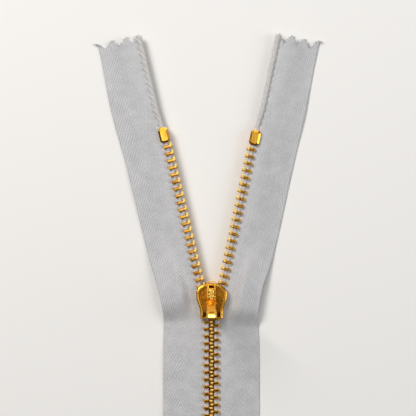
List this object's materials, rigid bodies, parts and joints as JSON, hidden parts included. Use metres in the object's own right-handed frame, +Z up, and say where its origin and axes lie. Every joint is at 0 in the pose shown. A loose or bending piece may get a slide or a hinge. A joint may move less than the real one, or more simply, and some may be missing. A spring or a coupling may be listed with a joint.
{
  "type": "zipper",
  "caption": "Closed-end metal zipper, half open: two woven tapes with toothed edges, a locking slider with a slender pull tab, and end stops.",
  "frame": {"origin": "on the flat underside of the slider, on the chain's centreline, where the zipper lies on a table", "axes": "+X across the tape to the right, +Y along the chain to the open end, +Z up from the table through the pull"},
  "size_m": [0.0619, 0.1505, 0.0247],
  "materials": {
    "tape": "matte",
    "bead_cord": "matte",
    "tooth_brass": "polished",
    "stop_brass": "satin",
    "slider_gold": "polished",
    "cap_gold": "polished",
    "spring_steel": "bright",
    "pawl_steel": "satin",
    "pull_gold": "polished"
  },
  "bodies": {
    "chain": {"left_tape_lower": "tape", "right_tape_lower": "tape", "left_cord_lower": "bead_cord", "right_cord_lower": "bead_cord", "left_teeth_lower": "tooth_brass", "right_teeth_lower": "tooth_brass", "bottom_stop": "stop_brass"},
    "left_branch": {"left_tape_upper": "tape", "left_cord_upper": "bead_cord", "left_teeth_upper": "tooth_brass", "left_top_stop": "stop_brass"},
    "right_branch": {"right_tape_upper": "tape", "right_cord_upper": "bead_cord", "right_teeth_upper": "tooth_brass", "right_top_stop": "stop_brass"},
    "slider": {"slider_body": "slider_gold", "slider_cap": "cap_gold", "leaf_spring": "spring_steel"},
    "lock": {"lock_pawl": "pawl_steel"},
    "pull": {"pull_tab": "pull_gold"}
  },
  "joints": [
    {"name": "slider_travel", "type": "slide", "parent": "chain", "child": "slider", "axis": [0, 1, 0], "range_m": [0, 0.039], "deforming": ["left_tape_upper", "left_cord_upper", "left_teeth_upper", "right_tape_upper", "right_cord_upper", "right_teeth_upper"]},
    {"name": "left_branch_bend", "type": "hinge", "parent": "chain", "child": "left_branch", "pos_m": [-0.0012, -0.00475, 0.0022], "axis": [0, 0, 1], "range_deg": [-12.8, 0]},
    {"name": "right_branch_bend", "type": "hinge", "parent": "chain", "child": "right_branch", "pos_m": [0.0012, -0.00575, 0.0022], "axis": [0, 0, 1], "range_deg": [0, 11.5]},
    {"name": "pull_swing", "type": "hinge", "parent": "slider", "child": "pull", "pos_m": [0, 0.001, 0.0051], "axis": [1, 0, 0], "range_deg": [-97, 73]},
    {"name": "lock_lift", "type": "hinge", "parent": "slider", "child": "lock", "pos_m": [0, 0.0024, 0.00605], "axis": [1, 0, 0], "range_deg": [0, 7], "stiffness_Nm_per_rad": 0.002}
  ],
  "couplings": [
    {"joint": "left_branch_bend", "follows": "slider_travel", "rad_per_m": -5.7014},
    {"joint": "right_branch_bend", "follows": "slider_travel", "rad_per_m": 5.1196}
  ]
}
